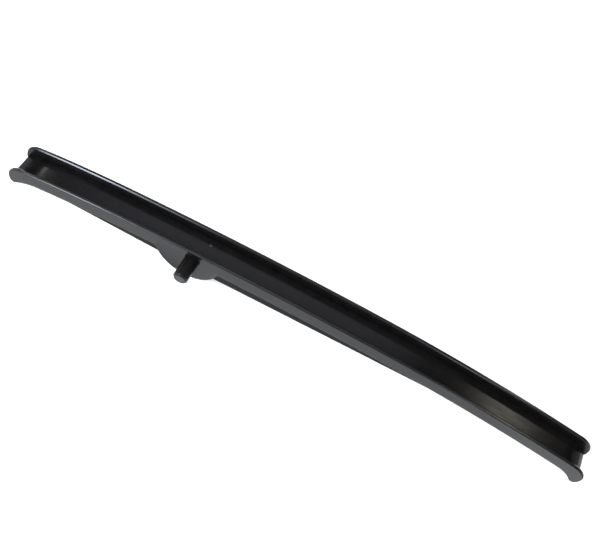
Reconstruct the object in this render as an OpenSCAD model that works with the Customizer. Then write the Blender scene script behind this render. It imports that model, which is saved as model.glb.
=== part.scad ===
// Chain guide: a bowed channel moulded in one piece of black plastic.
// A thin web carries the chain between two lips. The web and the ends of the
// lips turn down at both ends so that the chain runs on and off smoothly.
// A recessed back fills the bow from below, a round lobe hangs under the
// channel, and a peg on the near flank locates the guide.
//
// X runs along the guide, Y across it from the near flank to the far flank,
// Z up out of the open channel. The origin is the axis of the peg where it
// leaves the near flank.

/* [Overall] */
// Length from end to end
length = 210.2; // [210.2:3.8:214]
// Width over both lips
width = 11.5; // [11.5:1.5:13]

/* [Channel] */
// Height of a lip, from the underside of the web to the rim
lip_h = 5.6; // [5.6:0.3:5.9]
// Thickness of a lip
lip_t = 1.3; // [1.3:0.3:1.6]
// Thickness of the web
web_t = 1.5; // [1.5:0.2:1.7]
// Size of the broken edges along the lips
edge_c = 0.25; // [0.15:0.1:0.35]
// Size of the fillet between the web and a lip
fillet_c = 0.4; // [0.2:0.2:0.6]

/* [Bow] */
// Height of the crown of the rim above the plane that the ends stand on
crown_z = 16.7; // [16.4:0.3:17]
// Place of the crown, from mid-length
crown_x = 12.2; // [12.2:1.8:14]
// Radius of the rim over the middle
bow_r = 1025; // [1025:25:1050]
// Place where the middle arc gives way to the arc of the peg end
peg_end_x = -66; // [-66:3:-63]
// Radius of the rim towards the peg end
peg_end_r = 385; // [375:10:395]
// Place where the middle arc gives way to the arc of the plain end
plain_end_x = 24; // [21:3:24]
// Radius of the rim towards the plain end
plain_end_r = 475; // [475:10:485]

/* [Ends] */
// Radius of the rounded nose of a lip at the peg end
peg_nose_r = 5.8; // [5.8:0.4:6.2]
// Radius of the rounded nose of a lip at the plain end
plain_nose_r = 6.8; // [6.5:0.3:7.1]
// Radius of the round foot that closes each end
foot_r = 1.4; // [1.2:0.2:1.4]
// Radius that the underside turns down on at the peg end
peg_bend_r = 16; // [14:2:18]
// Distance from the peg end's tip to the start of its bend
peg_bend_l = 10.7; // [10.2:0.5:11.2]
// Radius that the underside turns down on at the plain end
plain_bend_r = 10; // [9:1:11]
// Distance from the plain end's tip to the start of its bend
plain_bend_l = 9.5; // [9.3:0.2:9.7]

/* [Back] */
// Height of the level part of the back above the plane that the ends stand on
back_z = 5.5; // [5:0.5:6]
// Slope of the rest of the back, in degrees
back_tilt = 2.45; // [2.3:0.15:2.6]
// Distance that the back is set in from each flank
back_in = 0.5; // [0.5:0.3:0.8]

/* [Lobe] */
// Radius of the lobe
lobe_r = 11; // [10.6:0.4:11]
// Place of the lobe's centre, from mid-length
lobe_x = -39.5; // [-41:1.5:-38]
// Height of the lobe's centre above the plane that the ends stand on
lobe_z = 11.25; // [11.25:0.35:11.6]
// Fillet between the lobe and the underside of the lip
lobe_fillet = 1.8; // [1.2:0.6:2.4]

/* [Peg] */
// Diameter of the peg
peg_d = 5; // [4:1:5]
// Length of the peg from the flank
peg_l = 8.2; // [8.2:3.8:12]
// Chamfer at the tip of the peg
peg_c = 0.3; // [0.3:0.3:0.6]
// Place of the peg, from mid-length
peg_x = -37.5; // [-39:1.5:-36]
// Height of the peg's axis above the plane that the ends stand on
peg_z = 12; // [12:0.3:12.3]

/* [Hidden] */
$fa = 0.25;
$fs = 0.15;
half = length / 2;

// Direction at angle a, turned from straight up towards +X, in the side view
function dir(a) = [sin(a), cos(a)];
// Angle of a side-view direction, turned from straight up towards +X
function ang(v) = atan2(v[0], v[1]);
// One of the two points at distance ra from a and rb from b
function meet(a, ra, b, rb, s) =
    let (d = norm(b - a), u = (b - a) / d,
         m = (ra * ra - rb * rb + d * d) / (2 * d),
         h = sqrt(ra * ra - m * m))
    a + m * u + s * h * [-u[1], u[0]];

// Points along an arc about c, from angle a0 to a1
function arc(c, r, a0, a1, n) = [for (i = [0:n]) c + r * dir(a0 + (a1 - a0) * i / n)];

// Centres of the three arcs of the rim, each tangent to the next
bow_c = [crown_x, crown_z - bow_r];
peg_a = asin((peg_end_x - crown_x) / bow_r);
plain_a = asin((plain_end_x - crown_x) / bow_r);
peg_c_pt = bow_c + (bow_r - peg_end_r) * dir(peg_a);
plain_c_pt = bow_c + (bow_r - plain_end_r) * dir(plain_a);
// Angles on those arcs where the ends begin to turn down
peg_b = asin((-half + peg_bend_l - peg_c_pt[0]) / (peg_end_r - lip_h));
plain_b = asin((half - plain_bend_l - plain_c_pt[0]) / (plain_end_r - lip_h));

// Height of the rim, and of a line inside the web, at a place along the guide
function rim_z(x) =
    x < peg_end_x ? peg_c_pt[1] + sqrt(pow(peg_end_r, 2) - pow(x - peg_c_pt[0], 2)) :
    x > plain_end_x ? plain_c_pt[1] + sqrt(pow(plain_end_r, 2) - pow(x - plain_c_pt[0], 2)) :
    bow_c[1] + sqrt(pow(bow_r, 2) - pow(x - bow_c[0], 2));
function web_z(x) = rim_z(x) - lip_h + web_t / 2;
// Height of the back at a place along the guide
function back_h(x) = back_z + max(0, x - lobe_x) * tan(back_tilt);

// Turns a section about a cross axis through c, from angle a0 to a1.
// Sections are drawn as (distance from the axis, Y).
module turned(c, a0, a1)
    translate([c[0], 0, c[1]]) rotate([90, 0, 0]) rotate([0, 0, 90 - a1])
        rotate_extrude(angle = a1 - a0, $fn = 256) mirror([0, 1]) children();

// Carries a side view, drawn as (X, Z), across from y0 to y1
module across(y0, y1)
    translate([0, y1, 0]) rotate([90, 0, 0]) linear_extrude(y1 - y0) children();

// The channel in section, for a rim of radius r: a web between two lips, with
// broken edges on the lips and a small fillet on each side of the web
module channel_section(r) {
    low = r - lip_h;
    floor_r = low + web_t;
    near = [[low + edge_c, 0], [low, edge_c]];
    rim = [[floor_r, lip_t + fillet_c], [floor_r + fillet_c, lip_t],
        [r - edge_c, lip_t], [r, lip_t - edge_c], [r, edge_c], [r - edge_c, 0]];
    polygon(concat(near,
        [for (i = [1, 0]) [near[i][0], width - near[i][1]]],
        [for (i = [5:-1:0]) [rim[i][0], width - rim[i][1]]],
        rim));
}

// One end of the guide, drawn at +X: c and r are the arc of the rim, b the
// angle on it where the end begins, br the radius of the turned-down underside
// and nose_r the radius of the nose
module end_piece(c, r, b, br, nose_r) {
    // Centres of the bend, of the nose and of the foot that closes the web
    bc = c + (r - lip_h - br) * dir(b);
    nx = half - nose_r;
    n = [nx, c[1] + sqrt(pow(r - nose_r, 2) - pow(nx - c[0], 2))];
    f = meet(n, nose_r - foot_r, bc, br + foot_r, 1);
    // The top of the web turns down on a radius of its own that runs into the
    // foot
    p = c + (r - lip_h + web_t) * dir(b);
    tr = (pow(foot_r, 2) - pow(norm(f - p), 2)) / (2 * ((f - p) * dir(b) + foot_r));
    tc = p - tr * dir(b);
    // Angles at which the rim, the web and the nose end
    na = ang(n - c);
    e = ang(f - bc);
    te = ang(f - tc);
    fa = ang(f - n);

    // The end starts a little way inside the bow, at b0, and stands a hair
    // inside its faces, by s
    b0 = b - 60 / r;
    s = 0.03;
    under = concat([c + (r - lip_h + s) * dir(b0)], arc(bc, br + s, b, e, 12));

    // Side view of a lip, drawn in from its rim, nose and foot by i
    function outline(i) = concat(
        arc(c, r - s - i, b0, na, 2),
        arc(n, nose_r - s - i, na, fa, 16),
        arc(f, foot_r - s - i, fa, e + 180, 6),
        [under[0]]);

    // Web, turned down and closed with a round end between the lips
    across(lip_t / 2, width - lip_t / 2) polygon(concat(
        [c + (r - lip_h + web_t - s) * dir(b0)],
        arc(tc, tr - s, b, te, 12),
        arc(f, foot_r - s, te, e + 180, 8),
        [for (i = [13:-1:0]) under[i]]));
    // Lips, with broken edges
    difference() {
        for (y = [s, width - lip_t + s]) hull() for (i = [0, edge_c])
            across(y + edge_c - i, y + lip_t - 2 * s - edge_c + i) polygon(outline(i));
        across(-1, width + 1) polygon(concat(under,
            [bc + (br - 3) * dir(e), bc + (br - 3) * dir(b - 10)]));
    }
}

// Side view of the lobe, with the fillets that carry it into the web
module lobe_outline() {
    lc = [lobe_x, lobe_z];
    // Centres of the fillets, which run a hair into the underside
    f = [for (s = [1, -1]) meet(bow_c, bow_r - lip_h - lobe_fillet + 0.02,
                                lc, lobe_r + lobe_fillet, s)];
    // Angles at which each fillet meets the underside and the lobe
    u = [for (p = f) ang(p - bow_c)];
    v = [for (p = f) ang(p - lc)];
    polygon(concat(
        [f[0] + [0, lobe_fillet + web_t / 2]],
        arc(f[0], lobe_fillet, u[0], v[0] + 180, 10),
        arc(lc, lobe_r, v[0], v[1] - 360, 60),
        arc(f[1], lobe_fillet, v[1] - 180, u[1], 10),
        [f[1] + [0, lobe_fillet + web_t / 2]]));
}

module chain_guide() color("#26262a") translate([-peg_x, 0, -peg_z]) {
    // Channel, in three arcs
    turned(peg_c_pt, peg_b, peg_a) channel_section(peg_end_r);
    turned(bow_c, peg_a, plain_a) channel_section(bow_r);
    turned(plain_c_pt, plain_a, plain_b) channel_section(plain_end_r);
    // Ends
    end_piece(plain_c_pt, plain_end_r, plain_b, plain_bend_r, plain_nose_r);
    mirror([1, 0, 0]) end_piece([-peg_c_pt[0], peg_c_pt[1]], peg_end_r, -peg_b, peg_bend_r, peg_nose_r);
    // Back, set in from both flanks
    across(back_in, width - back_in) polygon(concat(
        [for (x = [-92:4:60]) [x, web_z(x)]],
        [[60, back_h(60)], [lobe_x, back_z], [-92, back_z]]));
    // Lobe, flush with both flanks
    across(0, width) lobe_outline();
    // Peg
    translate([peg_x, 1, peg_z]) rotate([90, 0, 0]) {
        cylinder(d = peg_d, h = 1 + peg_l - peg_c);
        translate([0, 0, 1 + peg_l - peg_c]) cylinder(d1 = peg_d, d2 = peg_d - 2 * peg_c, h = peg_c);
    }
}

chain_guide();
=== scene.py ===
import math

import bpy
import bmesh
import numpy as np
from mathutils import Matrix, Vector


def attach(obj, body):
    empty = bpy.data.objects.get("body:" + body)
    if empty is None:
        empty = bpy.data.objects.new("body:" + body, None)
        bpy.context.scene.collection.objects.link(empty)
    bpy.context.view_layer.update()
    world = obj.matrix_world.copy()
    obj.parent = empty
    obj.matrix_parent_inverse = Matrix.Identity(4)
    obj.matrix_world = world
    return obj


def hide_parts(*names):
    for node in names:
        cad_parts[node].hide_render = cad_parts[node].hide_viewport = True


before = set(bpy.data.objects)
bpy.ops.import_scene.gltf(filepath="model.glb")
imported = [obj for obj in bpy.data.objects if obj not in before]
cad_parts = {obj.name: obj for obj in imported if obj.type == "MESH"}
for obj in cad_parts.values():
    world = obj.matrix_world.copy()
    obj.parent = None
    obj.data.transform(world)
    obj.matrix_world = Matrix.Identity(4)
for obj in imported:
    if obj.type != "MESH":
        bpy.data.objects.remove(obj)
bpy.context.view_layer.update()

# ---------------------------------------------------------------------------
# Sizes in mm. x runs along the guide from mid-length, z up from the plane that
# the ends stand on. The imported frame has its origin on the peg.
# ---------------------------------------------------------------------------
SHIFT = np.array([37.5, 0.0, -12.0])
HALF, WIDTH = 105.1, 11.5
LIP_H, LIP_T, WEB_T = 5.6, 1.3, 1.5
CROWN_X, CROWN_Z, BOW_R = 12.2, 16.7, 1025.0
PEG_END_X, PEG_END_R = -66.0, 385.0
PLAIN_END_X, PLAIN_END_R = 24.0, 475.0
NOSE_R, PEG_NOSE_R = 6.8, 5.8
FOOT_R = 1.4
PEG_BEND_R, PEG_BEND_L = 16.0, 10.7
PLAIN_BEND_R, PLAIN_BEND_L = 10.0, 9.5
BACK_Z, BACK_TILT, BACK_IN = 5.5, 2.45, 0.5
LOBE_R, LOBE_X, LOBE_Z, LOBE_FILLET = 11.0, -39.5, 11.25, 1.8
PEG_R, PEG_L, PEG_X, PEG_Z = 2.5, 8.2, -37.5, 12.0

RIM_W, RIM_H = 0.20, 0.16     # broken edge between a flank and its rim
LEAD_W, LEAD_H = 0.41, 0.32   # flat lead-in between a rim and the inside of its lip
LOW_EDGE = 0.25     # edge along the underside of a lip
NOSE_EDGE = 0.32    # the outer edges grow to this around the noses
FLOOR_FILLET = 0.12
MARGIN = 0.38      # a loop this far inside the edges of a flank


def rad(d):
    return math.radians(d)


def vec(a):
    """Side-view direction at angle a, turned from straight up towards +x."""
    return np.array([math.sin(a), math.cos(a)])


def ang(v):
    return math.atan2(v[0], v[1])


def meet(a, ra, b, rb, s):
    d = np.linalg.norm(b - a)
    u = (b - a) / d
    m = (ra * ra - rb * rb + d * d) / (2 * d)
    h = math.sqrt(ra * ra - m * m)
    return a + m * u + s * h * np.array([-u[1], u[0]])


BOW_C = np.array([CROWN_X, CROWN_Z - BOW_R])
PEG_A = math.asin((PEG_END_X - CROWN_X) / BOW_R)
PLAIN_A = math.asin((PLAIN_END_X - CROWN_X) / BOW_R)
PEG_C = BOW_C + (BOW_R - PEG_END_R) * vec(PEG_A)
PLAIN_C = BOW_C + (BOW_R - PLAIN_END_R) * vec(PLAIN_A)


def on_arc(x, inset):
    """Point and upward normal on the bow, inset from the rim, at place x."""
    for c, r, lo, hi in ((PEG_C, PEG_END_R, -9, PEG_A), (BOW_C, BOW_R, PEG_A, PLAIN_A), (PLAIN_C, PLAIN_END_R, PLAIN_A, 9)):
        a = math.asin((x - c[0]) / (r - inset))
        if lo <= a <= hi:
            return c + (r - inset) * vec(a), vec(a)
    c, r = (BOW_C, BOW_R)
    a = math.asin((x - c[0]) / (r - inset))
    return c + (r - inset) * vec(a), vec(a)


def back_h(x):
    return BACK_Z + max(0.0, x - LOBE_X) * math.tan(rad(BACK_TILT))


# ---------------------------------------------------------------------------
# Paths made of arcs: [(centre, radius, start angle, end angle, side)], where
# side is +1 if the surface faces away from the centre and -1 if towards it
# ---------------------------------------------------------------------------
def walk(path, n):
    """n + 1 points with their normals, evenly spread along a path of arcs."""
    lens = [abs(a1 - a0) * r for c, r, a0, a1, s in path]
    total = sum(lens)
    out = []
    for i in range(n + 1):
        d = total * i / n
        k = 0
        while k < len(path) - 1 and d > lens[k] + 1e-9:
            d -= lens[k]
            k += 1
        c, r, a0, a1, s = path[k]
        a = a0 + (a1 - a0) * (d / lens[k] if lens[k] else 0)
        out.append((c + r * vec(a), s * vec(a)))
    return out


def end_stations(c, r, bend_l, br, nr, tr, x0, n1, n2):
    """Stations of an end drawn at +x, from place x0 to the bottom of the foot.
    Each is (rim, floor, underside) as pairs of point and outward normal, and how
    far along the end it is."""
    b = math.asin((HALF - bend_l - c[0]) / (r - LIP_H))
    bc = c + (r - LIP_H - br) * vec(b)
    nx = HALF - nr
    n = np.array([nx, c[1] + math.sqrt((r - nr) ** 2 - (nx - c[0]) ** 2)])
    f = meet(n, nr - tr, bc, br + tr, 1)
    # the floor turns down on a radius of its own that runs into the foot
    p = c + (r - LIP_H + WEB_T) * vec(b)
    fr = (tr ** 2 - (f - p) @ (f - p)) / (2 * ((f - p) @ vec(b) + tr))
    fc = p - fr * vec(b)
    na, e, fe, fa, low = ang(n - c), ang(f - bc), ang(f - fc), ang(f - n), math.pi

    def start(inset):
        return math.asin((x0 - c[0]) / (r - inset))

    rim = [(c, r, start(0), na, 1), (n, nr, na, fa, 1)]
    floor = [(c, r - LIP_H + WEB_T, start(LIP_H - WEB_T), b, 1), (fc, fr, b, fe, 1), (f, tr, fe, fa, 1)]
    under = [(c, r - LIP_H, start(LIP_H), b, -1), (bc, br, b, e, -1)]
    one = list(zip(walk(rim, n1), walk(floor, n1), walk(under, n1)))
    top = walk([(f, tr, fa, low, 1)], n2)
    bot = walk([(f, tr, e + math.pi, low, 1)], n2)
    two = list(zip(top, top, bot))[1:]
    return [(t, g, u, i / n1) for i, (t, g, u) in enumerate(one)] + [(t, g, u, 1.0) for t, g, u in two]


def lobe_path():
    """The lobe's outline with its fillets, from left to right, as points with
    outward normals."""
    lc = np.array([LOBE_X, LOBE_Z])
    out = []
    f = [meet(BOW_C, BOW_R - LIP_H - LOBE_FILLET, lc, LOBE_R + LOBE_FILLET, s) for s in (1, -1)]
    u = [ang(p - BOW_C) for p in f]
    v = [ang(p - lc) for p in f]
    left, right = (0, 1) if f[0][0] < f[1][0] else (1, 0)
    fl, fr = f[left], f[right]
    # left fillet, from the underside round to the lobe
    a0, a1 = u[left], ang(lc - fl)
    out += walk([(fl, LOBE_FILLET, a0, a1, -1)], 12)
    # lobe, round its bottom
    v0, v1 = ang(fl - lc), ang(fr - lc)
    out += walk([(lc, LOBE_R, v0 + 2 * math.pi, v1, 1)], 72)[1:]
    # right fillet, from the lobe up to the underside
    a0, a1 = ang(lc - fr), u[right]
    out += walk([(fr, LOBE_FILLET, a0, a1, -1)], 12)[1:]
    return out


def stations():
    """All stations from the peg end to the plain end."""
    x_l, x_r = -93.0, 95.0
    mirror = np.array([-1.0, 1.0])
    left = end_stations(PEG_C * mirror, PEG_END_R, PEG_BEND_L, PEG_BEND_R, PEG_NOSE_R, FOOT_R, -x_l, 64, 12)
    right = end_stations(PLAIN_C, PLAIN_END_R, PLAIN_BEND_L, PLAIN_BEND_R, NOSE_R, FOOT_R, x_r, 64, 12)
    out = [(*[(p * mirror, n * mirror) for p, n in (t, g, u)], w) for t, g, u, w in left[::-1]]
    lobe = lobe_path()
    l0, l1 = lobe[0][0][0], lobe[-1][0][0]

    def bow(x, under=None):
        t, g = on_arc(x, 0), on_arc(x, LIP_H - WEB_T)
        u = on_arc(x, LIP_H)
        return (t, g, under or (u[0], -u[1]), 0.0)

    for x in np.arange(x_l + 1.0, l0 - 0.3, 1.0):
        out.append(bow(x))
    for p, n in lobe:
        out.append(bow(p[0], (p, n)))
    for x in np.arange(l1 + 0.6, x_r - 0.4, 1.0):
        out.append(bow(x))
    return out + right


def corner(a, b, c, r, n):
    """n + 1 points of an arc of radius r that rounds the corner b between a and c."""
    a, b, c = (np.array(p, float) for p in (a, b, c))
    u, v = (a - b) / np.linalg.norm(a - b), (c - b) / np.linalg.norm(c - b)
    half = math.acos(max(-1.0, min(1.0, float(u @ v)))) / 2
    m = (u + v) / np.linalg.norm(u + v)
    centre = b + m * r / math.sin(half)
    sweep = math.pi / 2 - half
    t = (u - v) / np.linalg.norm(u - v)
    return [centre + r * (-m * math.cos(k) + t * math.sin(k)) for k in np.linspace(sweep, -sweep, n + 1)]


def ring(t, g, u, w):
    """The closed section at one station as (x, y, z) points: over the top from
    the near flank to the far flank, then back underneath."""
    (T, nT), (G, nG), (U, nU) = t, g, u
    tall = float(np.linalg.norm(T - G))
    grow = min(1.0, max(0.0, (w - 0.25) / 0.35))
    grow = grow * grow * (3 - 2 * grow)
    ow, oh = RIM_W + (NOSE_EDGE - RIM_W) * grow, RIM_H + (NOSE_EDGE - RIM_H) * grow
    rl = LOW_EDGE + (NOSE_EDGE - LOW_EDGE) * grow
    k = min(1.0, tall / 1.6)
    rc0 = 0.05 + 0.06 * grow
    lw, lh, rc = LEAD_W * k, LEAD_H * k, 0.07 * k
    rf = min(FLOOR_FILLET, 0.35 * tall)
    quarter = [rad(15 * i) for i in range(7)]
    # each pair is (depth under the rim, distance in from the flank)
    top = [(oh + MARGIN, 0.0)]
    top += [tuple(q) for q in corner((oh + 1.0, 0.0), (oh, 0.0), (0.0, ow), rc0, 4)]
    top += [tuple(q) for q in corner((oh, 0.0), (0.0, ow), (0.0, ow + 1.0), rc0, 4)]
    if k > 1e-3:
        lead = [(0.0, LIP_T - lw), (lh, LIP_T)]
        top += [tuple(q) for q in corner((0.0, ow), lead[0], lead[1], rc, 4)]
        top += [tuple(q) for q in corner(lead[0], lead[1], (lh + 1.0, LIP_T), rc, 4)]
    else:
        top += [(0.0, LIP_T)] * 10
    edge = list(top)
    top = [(T - d * nT, y) for d, y in top]
    top += [(G + rf * (1 - math.sin(i)) * nG, LIP_T + rf * (1 - math.cos(i))) for i in quarter]
    y1 = LIP_T + rf
    mids = [y1 + (WIDTH / 2 - y1) * i / 4 for i in (1, 2, 3, 4)]
    top += [(G, y) for y in mids]

    deep = max(0.0, U[1] - back_h(U[0])) if w < 1e-6 else 0.0
    rb = min(0.3, deep)
    down = np.array([0.0, -1.0])
    bot = [(U - (rl + MARGIN) * nU, 0.0)]
    bot += [(U - rl * (1 - math.sin(i)) * nU, rl * (1 - math.cos(i))) for i in quarter]
    bot += [(U, rl + (BACK_IN - rl) * i) for i in (0.4, 0.8, 1.0)]
    bot += [(U + down * (deep - rb) * i / 10, BACK_IN) for i in range(1, 11)]
    bot += [(U + down * (deep - rb * (1 - math.sin(i))), BACK_IN + rb * (1 - math.cos(i))) for i in quarter]
    bot += [(U + down * deep, y) for y in mids]
    # towards the foot the points underneath line up with those on top, and the
    # edges there take the same shape, so that the two meet exactly
    if w > 0:
        f = min(1.0, w * 1.15)
        g = min(1.0, max(0.0, (w - 0.6) / 0.35))
        low = [rl + MARGIN] + [rl * (1 - math.sin(i)) for i in quarter] + [0.0] * 24
        high = [d for d, _ in edge[:11]] + [0.0] * 21
        bot = [(U - (a + (b - a) * g) * nU, y + (ty - y) * f) for a, b, (_, y), (_, ty) in zip(low, high, bot, top)]
    half_t = [(p[0], y, p[1]) for p, y in top]
    half_b = [(p[0], y, p[1]) for p, y in bot]
    far = lambda pts: [(x, WIDTH - y, z) for x, y, z in pts[-2::-1]]
    over, under = half_t + far(half_t), half_b + far(half_b)
    return over + under[::-1]


def guide_mesh():
    rings = np.array([ring(*s) for s in stations()])
    count, per = rings.shape[:2]
    bm = bmesh.new()
    verts = [[bm.verts.new((p + SHIFT) / 1000) for p in r] for r in rings]
    for i in range(count - 1):
        for j in range(per):
            k = (j + 1) % per
            bm.faces.new((verts[i][j], verts[i][k], verts[i + 1][k], verts[i + 1][j]))
    bmesh.ops.remove_doubles(bm, verts=bm.verts, dist=2e-6)
    bmesh.ops.dissolve_degenerate(bm, dist=1e-6, edges=bm.edges)
    bmesh.ops.recalc_face_normals(bm, faces=bm.faces)
    me = bpy.data.meshes.new("chain_guide_moulding")
    bm.to_mesh(me)
    bm.free()
    return me


def turned_mesh(name, profile, segs, centre, axis_y):
    """A closed body of revolution about an axis along Y (or Z), from a profile
    of (distance along the axis, radius)."""
    bm = bmesh.new()
    rows = []
    for d, r in profile:
        if r < 1e-6:
            pts = [(0, 0)]
        else:
            pts = [(r * math.cos(2 * math.pi * k / segs), r * math.sin(2 * math.pi * k / segs)) for k in range(segs)]
        row = []
        for a, b in pts:
            p = np.array([a, d, b]) if axis_y else np.array([a, b, d])
            row.append(bm.verts.new((p + centre + SHIFT) / 1000))
        rows.append(row)
    for r0, r1 in zip(rows, rows[1:]):
        for k in range(segs):
            n = (k + 1) % segs
            face = [r0[k % len(r0)], r0[n % len(r0)], r1[n % len(r1)], r1[k % len(r1)]]
            bm.faces.new(list(dict.fromkeys(face)))
    bmesh.ops.recalc_face_normals(bm, faces=bm.faces)
    me = bpy.data.meshes.new(name)
    bm.to_mesh(me)
    bm.free()
    return me


def add(name, me):
    ob = bpy.data.objects.new(name, me)
    bpy.context.scene.collection.objects.link(ob)
    return ob


def union(ob, others):
    """Joins other closed bodies to ob and removes them."""
    for o in others:
        m = ob.modifiers.new("join", "BOOLEAN")
        m.operation, m.solver, m.object = "UNION", "EXACT", o
    dg = bpy.context.evaluated_depsgraph_get()
    me = bpy.data.meshes.new_from_object(ob.evaluated_get(dg))
    ob.modifiers.clear()
    ob.data = me
    for o in others:
        bpy.data.objects.remove(o)


# Peg: a small root fillet, a straight shank and a chamfered tip
root = [(0.6, 0.0), (0.6, PEG_R + 0.35), (0.02, PEG_R + 0.35)]
root += [(0.0 - 0.35 * (1 - math.cos(a)), PEG_R + 0.35 * (1 - math.sin(a))) for a in [rad(15 * k) for k in range(1, 7)]]
tip = [tuple(q) for q in corner((-2.0, PEG_R), (-PEG_L + 0.5, PEG_R), (-PEG_L, PEG_R - 0.45), 0.25, 4)]
tip += [tuple(q) for q in corner((-PEG_L + 0.5, PEG_R), (-PEG_L, PEG_R - 0.45), (-PEG_L, 0.0), 0.15, 4)]
tip += [(-PEG_L, 1.2), (-PEG_L, 0.0)]
peg = add("peg_tool", turned_mesh("peg_tool", root + tip, 96, np.array([PEG_X, 0.0, PEG_Z]), True))

# Nib: the small round mark left on the floor where the mould was filled
NIB_X, NIB_Y = -35.0, 8.1
nib_z = on_arc(NIB_X, LIP_H - WEB_T)[0][1]
nib = [(-0.3, 0.0), (-0.3, 0.55)] + [(0.18 * math.sin(a), 0.55 * math.cos(a)) for a in [rad(18 * k) for k in range(6)]]
nib = add("nib_tool", turned_mesh("nib_tool", nib, 40, np.array([NIB_X, NIB_Y, nib_z]), False))

guide = add("chain_guide_moulding", guide_mesh())
union(guide, [peg, nib])
guide.data.name = "chain_guide_moulding"


# ---------------------------------------------------------------------------
# Material: black moulded plastic with a satin skin
# ---------------------------------------------------------------------------
def plastic():
    mat = bpy.data.materials.new("black_moulded_plastic")
    mat.use_nodes = True
    nt = mat.node_tree
    for n in list(nt.nodes):
        nt.nodes.remove(n)
    new, link = nt.nodes.new, nt.links.new
    out = new("ShaderNodeOutputMaterial")
    bsdf = new("ShaderNodeBsdfPrincipled")
    link(bsdf.outputs["BSDF"], out.inputs["Surface"])
    coord = new("ShaderNodeTexCoord")

    # slow mottling of the skin
    mott = new("ShaderNodeTexNoise")
    mott.inputs["Scale"].default_value = 420.0
    mott.inputs["Detail"].default_value = 5.0
    mott.inputs["Roughness"].default_value = 0.6
    link(coord.outputs["Object"], mott.inputs["Vector"])

    # colour: near black, a little bluer and greyer in patches
    col = new("ShaderNodeValToRGB")
    col.color_ramp.elements[0].position = 0.3
    col.color_ramp.elements[0].color = (0.0022, 0.0022, 0.0027, 1)
    col.color_ramp.elements[1].position = 0.74
    col.color_ramp.elements[1].color = (0.0046, 0.0043, 0.0060, 1)
    olive = col.color_ramp.elements.new(0.5)
    olive.color = (0.0040, 0.0039, 0.0034, 1)
    link(mott.outputs["Fac"], col.inputs["Fac"])

    # painted sheen: the tops of the rims are painted a little grey, unevenly; the nib is painted grey the same way
    painted_lightening = new("ShaderNodeAttribute")
    painted_lightening.attribute_name = "painted_lightening"
    lightening_noise = new("ShaderNodeTexNoise")
    lightening_noise.inputs["Scale"].default_value = 260.0
    lightening_noise.inputs["Detail"].default_value = 4.0
    link(coord.outputs["Object"], lightening_noise.inputs["Vector"])
    lightening_range = new("ShaderNodeMapRange")
    lightening_range.inputs["From Min"].default_value = 0.3
    lightening_range.inputs["From Max"].default_value = 0.7
    lightening_range.inputs["To Min"].default_value = 0.6
    link(lightening_noise.outputs["Fac"], lightening_range.inputs["Value"])
    lightening_amount = new("ShaderNodeMath")
    lightening_amount.operation = "MULTIPLY"
    link(painted_lightening.outputs["Fac"], lightening_amount.inputs[0])
    link(lightening_range.outputs["Result"], lightening_amount.inputs[1])
    skin = new("ShaderNodeMix")
    skin.data_type = "RGBA"
    link(lightening_amount.outputs["Value"], skin.inputs["Factor"])
    link(col.outputs["Color"], skin.inputs["A"])
    skin.inputs["B"].default_value = (0.075, 0.075, 0.082, 1)
    link(skin.outputs["Result"], bsdf.inputs["Base Color"])

    # roughness: satin, with flow streaks along the length
    stretch = new("ShaderNodeMapping")
    stretch.inputs["Scale"].default_value = (0.06, 1.0, 1.0)
    link(coord.outputs["Object"], stretch.inputs["Vector"])
    flow = new("ShaderNodeTexNoise")
    flow.inputs["Scale"].default_value = 900.0
    flow.inputs["Detail"].default_value = 4.0
    link(stretch.outputs["Vector"], flow.inputs["Vector"])
    rough = new("ShaderNodeMapRange")
    rough.inputs["From Min"].default_value = 0.25
    rough.inputs["From Max"].default_value = 0.75
    rough.inputs["To Min"].default_value = 0.15
    rough.inputs["To Max"].default_value = 0.23
    link(flow.outputs["Fac"], rough.inputs["Value"])
    link(rough.outputs["Result"], bsdf.inputs["Roughness"])

    # fine grain of the mould
    grain = new("ShaderNodeTexNoise")
    grain.inputs["Scale"].default_value = 5200.0
    grain.inputs["Detail"].default_value = 3.0
    link(coord.outputs["Object"], grain.inputs["Vector"])
    bump = new("ShaderNodeBump")
    bump.inputs["Strength"].default_value = 0.05
    bump.inputs["Distance"].default_value = 0.00004
    link(grain.outputs["Fac"], bump.inputs["Height"])
    link(bump.outputs["Normal"], bsdf.inputs["Normal"])
    bsdf.inputs["IOR"].default_value = 1.38
    bsdf.inputs["Specular Tint"].default_value = (0.87, 0.88, 1.0, 1)

    # painted shade: this attribute knocks the reflection down on the recessed back, the shank of the peg and other
    # places, standing in for the shade there
    painted_shade_dull = new("ShaderNodeAttribute")
    painted_shade_dull.attribute_name = "painted_shade_dull"
    shine = new("ShaderNodeMapRange")
    shine.inputs["To Min"].default_value = 0.5
    shine.inputs["To Max"].default_value = 0.03
    link(painted_shade_dull.outputs["Fac"], shine.inputs["Value"])
    link(shine.outputs["Result"], bsdf.inputs["Specular IOR Level"])
    return mat


guide.data.materials.clear()
guide.data.materials.append(plastic())
for p in guide.data.polygons:
    p.use_smooth = True
    p.material_index = 0
guide.data.set_sharp_from_angle(angle=rad(38))
# painted shade, as how far each place's reflection is knocked down: the recessed near face of the back, the shank of
# the peg and the corners of the channel most, then the drawn-down ends of the web, the edges of
# the plain end's noses, the lobe and, least, the near flank. The rim tops are painted lighter grey, a painted sheen,
# the near rim more than the far one, and the nib is painted light grey.
def step(v, a, b):
    t = np.clip((v - a) / (b - a), 0.0, 1.0)
    return t * t * (3 - 2 * t)


def gap(x, z, line):
    """Distance of each point from a side-view line."""
    best = np.full(len(x), 1e9)
    for (ax, az), (bx, bz) in zip(line, line[1:]):
        dx, dz = bx - ax, bz - az
        ll = dx * dx + dz * dz
        if ll < 1e-12:
            continue
        t = np.clip(((x - ax) * dx + (z - az) * dz) / ll, 0.0, 1.0)
        best = np.minimum(best, np.hypot(x - ax - t * dx, z - az - t * dz))
    return best


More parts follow.
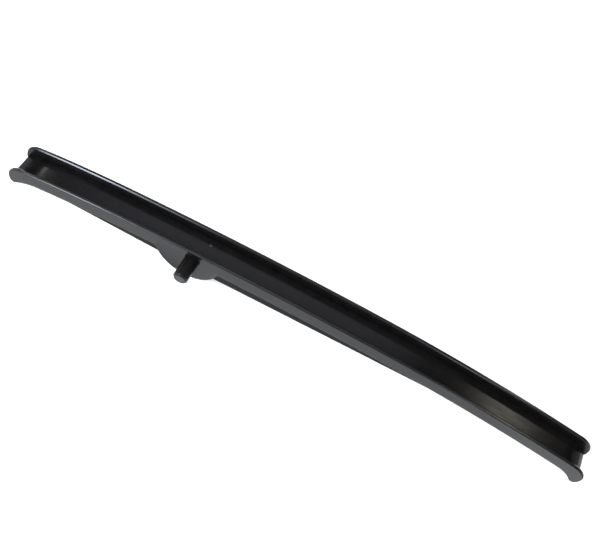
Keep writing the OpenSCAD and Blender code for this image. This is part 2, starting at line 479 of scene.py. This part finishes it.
co = np.empty(len(guide.data.vertices) * 3)
guide.data.vertices.foreach_get("co", co)
X, Y, Z = (co.reshape(-1, 3) * 1000 - SHIFT).T
side = np.minimum(Y, WIDTH - Y)
lines = stations()
rim_gap, floor_gap, under_gap = (gap(X, Z, [s[k][0] for s in lines]) for k in (0, 1, 2))
bow = (X > -92) & (X < 62)
hang = np.where(bow, np.array([on_arc(min(62.0, max(-92.0, v)), LIP_H)[0][1] for v in X]) - Z, 0.0)
near = Y < WIDTH / 2
flank = near & (np.abs(side) < 0.06)
# painted shade: the near flank's reflection is knocked down, more towards the peg end and less at the plain end
painted_shade_dull = np.where(flank, 0.50 + 0.07 * step(-X, 62, 90) + 0.04 * step(X, 0, 50) - 0.16 * step(X, 66, 84), 0.0)
lobe = flank & (hang > 0.02)
# painted shade: the lobe is darkened, most on its part towards the peg end and towards its bottom
painted_shade_dull = np.where(lobe, 0.30 + 0.45 * step(-X, -LOBE_X - 6, -LOBE_X + 4) + 0.06 * np.clip(hang / 5, 0, 1), painted_shade_dull)
# painted shade: the recessed near face of the back most, and a little on the rest of the recess and the underside
painted_shade_dull = np.where((hang > 0.02) & (side > BACK_IN - 0.02), np.where(near & (side < 1.0), 0.95, 0.25), painted_shade_dull)
# painted shade: the corners where the floor of the channel meets the lips
painted_shade_dull = np.where((floor_gap < 0.16) & (side > LIP_T - 0.02) & (side < LIP_T + 0.14), 1.0, painted_shade_dull)
# painted shade: the inside face of each lip just below its lead-in
inner = (rim_gap > 0.22) & (rim_gap < 0.5) & (side > LIP_T - 0.05) & (side < LIP_T + 0.01)
painted_shade_dull = np.where(inner, 0.6, painted_shade_dull)
# painted shade: the lead-in where it turns down round the peg end's noses
turned = (X < -98.5) & (rim_gap < 0.4) & (side > 0.70) & (side < LIP_T + 0.01)
painted_shade_dull = np.where(turned, np.maximum(painted_shade_dull, 0.7 * step(-X, 98.5, 101)), painted_shade_dull)
# painted shade: the floor of the channel towards both ends, where the web is drawn down
web = (side > LIP_T + 0.14) & (np.minimum(floor_gap, under_gap) < 0.05)
painted_shade_dull = np.where(web & (X < -82), 0.4 * step(-X, 82, 92) + 0.35 * step(-X, 96, 98.5) - 0.25 * step(-X, 98.5, 101), painted_shade_dull)
painted_shade_dull = np.where(web & (X > 96), 0.95 * step(X, 96, 98.5) - 0.5 * step(X, 102.4, 103.4), painted_shade_dull)
# painted shade: the outer edges round the plain end's noses, standing in for the shadow beside them
nose_edge_shade = (X > HALF - NOSE_R) & (side > -0.01) & (side < 0.34) & (np.minimum(rim_gap, under_gap) < 0.36)
painted_shade_dull = np.where(nose_edge_shade, np.maximum(painted_shade_dull, 0.9 * step(X, HALF - NOSE_R, HALF - NOSE_R + 2)), painted_shade_dull)
# painted shade: the shank and root of the peg fully, its tip a little
painted_shade_dull = np.where(Y < -0.01, np.where(Y > -PEG_L + 0.6, 1.0, 0.25), painted_shade_dull)
# painted sheen: the rim tops are painted lighter grey, the near rim more and most towards the peg end, fading round the
# plain end's noses
rim_top = (rim_gap < 0.12) & (side > 0.08) & (side < LIP_T - 0.04)
painted_lightening = np.where(rim_top, np.where(Y < WIDTH / 2, 0.22 - 0.14 * step(X, -25, 20), 0.04) * (1.0 - 0.6 * step(X, HALF - NOSE_R, HALF - 3)), 0.0)
# the nib is painted light grey
painted_lightening = np.where((np.hypot(X - NIB_X, Y - NIB_Y) < 0.56) & (Z > nib_z + 0.02), 0.3, painted_lightening)
for name, values in (("painted_shade_dull", painted_shade_dull), ("painted_lightening", painted_lightening)):
    guide.data.attributes.new(name, "FLOAT", "POINT").data.foreach_set("value", values.astype(np.float32))
wn = guide.modifiers.new("even_normals", "WEIGHTED_NORMAL")
wn.keep_sharp = True
wn.weight = 80

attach(guide, "root")
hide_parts("chain_guide")

# ---------------------------------------------------------------------------
# Stage: pale floor, soft light, camera
# ---------------------------------------------------------------------------
def floor():
    me = bpy.data.meshes.new("floor")
    s, z = 3.0, -0.01218
    me.from_pydata([(-s, -s, z), (s, -s, z), (s, s, z), (-s, s, z)], [], [(0, 1, 2, 3)])
    ob = add("floor", me)
    mat = bpy.data.materials.new("pale_floor")
    mat.use_nodes = True
    b = mat.node_tree.nodes["Principled BSDF"]
    b.inputs["Base Color"].default_value = (0.80, 0.80, 0.80, 1)
    b.inputs["Roughness"].default_value = 0.9
    b.inputs["Specular IOR Level"].default_value = 0.0
    # a light table: it glows a little, which takes away most of the shadow
    b.inputs["Emission Color"].default_value = (1, 1, 1, 1)
    b.inputs["Emission Strength"].default_value = 0.42
    me.materials.append(mat)

    # a low round backdrop of the same kind, well below what the channel mirrors
    n, r, h = 96, 2.9, 0.95
    ring_pts = [(r * math.cos(2 * math.pi * k / n), r * math.sin(2 * math.pi * k / n)) for k in range(n)]
    wall = bpy.data.meshes.new("backdrop")
    wall.from_pydata([(x, y, z) for x, y in ring_pts] + [(x, y, h) for x, y in ring_pts], [],
                     [(k, (k + 1) % n, n + (k + 1) % n, n + k) for k in range(n)])
    pale = mat.copy()
    pale.name = "pale_backdrop"
    pale.node_tree.nodes["Principled BSDF"].inputs["Emission Strength"].default_value = 0.75
    wall.materials.append(pale)
    add("backdrop", wall)


def area(name, loc, target, size, power, color=(1, 1, 1), axis=None, spread=180):
    """A rectangular light at loc that faces target. Its width runs along axis."""
    li = bpy.data.lights.new(name, "AREA")
    li.shape = "RECTANGLE"
    li.size, li.size_y = size
    li.energy = power
    li.color = color
    li.spread = rad(spread)
    ob = bpy.data.objects.new(name, li)
    z = (Vector(loc) - Vector(target)).normalized()
    x = Vector(axis) if axis else Vector((0, 0, 1)).cross(z)
    x = (x - z * x.dot(z)).normalized()
    y = z.cross(x)
    ob.matrix_world = Matrix.Translation(loc) @ Matrix((x, y, z)).transposed().to_4x4()
    bpy.context.scene.collection.objects.link(ob)
    return ob


floor()

world = bpy.data.worlds.new("studio")
bpy.context.scene.world = world
world.use_nodes = True
wn_new, wn_link = world.node_tree.nodes.new, world.node_tree.links.new
bg = world.node_tree.nodes["Background"]
bg.inputs["Color"].default_value = (1, 1, 1, 1)
# the room is lighter in front of the table than behind it
w_co, w_xyz, w_map = wn_new("ShaderNodeTexCoord"), wn_new("ShaderNodeSeparateXYZ"), wn_new("ShaderNodeMapRange")
w_map.inputs["From Min"].default_value = -0.35
w_map.inputs["From Max"].default_value = 0.30
w_map.inputs["To Min"].default_value = 0.42
w_map.inputs["To Max"].default_value = 0.09
wn_link(w_co.outputs["Generated"], w_xyz.inputs["Vector"])
wn_link(w_xyz.outputs["Y"], w_map.inputs["Value"])
wn_link(w_map.outputs["Result"], bg.inputs["Strength"])

mid = (0.04, 0.0, 0.0)
# a large light above the camera and two at the sides carry the table, clear of
# what the channel and the rims mirror
area("above", (0.04, -0.40, 1.25), mid, (1.2, 0.55), 11.0)
area("side_left", (-0.98, -0.55, 0.85), mid, (0.6, 0.6), 4.5, (0.88, 0.95, 1.0))
area("side_right", (1.08, -0.45, 0.90), mid, (0.7, 0.7), 2.0)
# front left: the line along the far rim's lead-in
area("front_left", (-0.584, -0.689, 0.659), (-0.045, 0.0, 0.0), (0.25, 0.25), 10.0, (0.90, 0.96, 1.0))
area("front_tail", (-0.385, -0.738, 0.727), (-0.014, 0.0, 0.0), (0.22, 0.28), 1.5, (0.90, 0.96, 1.0))
# low on the left: the light that runs on round the noses of the peg end
area("low_left", (-0.93, -0.53, 0.34), (-0.066, 0.0, 0.0), (0.16, 0.40), 2.0, (0.93, 0.97, 1.0), (0.55, -0.80, 0.0))
area("front_right", (0.458, -0.73, 0.72), (0.09, 0.0, 0.0), (0.18, 0.18), 0.75)
# low light behind on the left: the near rim's inner edge
area("low_back_left", (-0.50, 0.90, 0.07), (-0.04, 0.0, 0.0), (0.55, 0.12), 0.6)
# lights that the floor of the channel mirrors: a faint one over its middle and
# two small ones near its ends, kept off the rest by narrow beams
area("over_middle", (-0.17, 0.55, 0.96), (0.0, 0.005, 0.0), (1.06, 0.30), 0.86)
area("back_right", (0.68, 0.556, 0.896), (0.118, 0.005, 0.0), (0.20, 0.20), 0.0030, (1.0, 0.93, 0.70), (0.847, 0, -0.53), 10)
area("back_left", (-0.79, 0.52, 0.723), (-0.062, 0.005, 0.0), (0.05, 0.12), 0.00056, (1.0, 0.95, 0.82), (0.684, 0, 0.729), 6)

right = Vector((0.88234, 0.41321, 0.22521))
down = Vector((0.46991, -0.74775, -0.46911))
fwd = right.cross(down).normalized()
right = right.normalized()
down = fwd.cross(right).normalized()
cam_data = bpy.data.cameras.new("camera")
cam_data.sensor_width = 36.0
cam_data.sensor_fit = "HORIZONTAL"
cam_data.lens = 45.313
cam_data.shift_x, cam_data.shift_y = -1.019 / 600, 0.543 / 600
cam_data.clip_start, cam_data.clip_end = 0.01, 20.0
cam = bpy.data.objects.new("camera", cam_data)
cam.matrix_world = Matrix((
    (right.x, -down.x, -fwd.x, 0.037428),
    (right.y, -down.y, -fwd.y, -0.111326),
    (right.z, -down.z, -fwd.z, 0.210007),
    (0, 0, 0, 1)))
bpy.context.scene.collection.objects.link(cam)
bpy.context.scene.camera = cam
bpy.context.scene.view_settings.view_transform = "Standard"
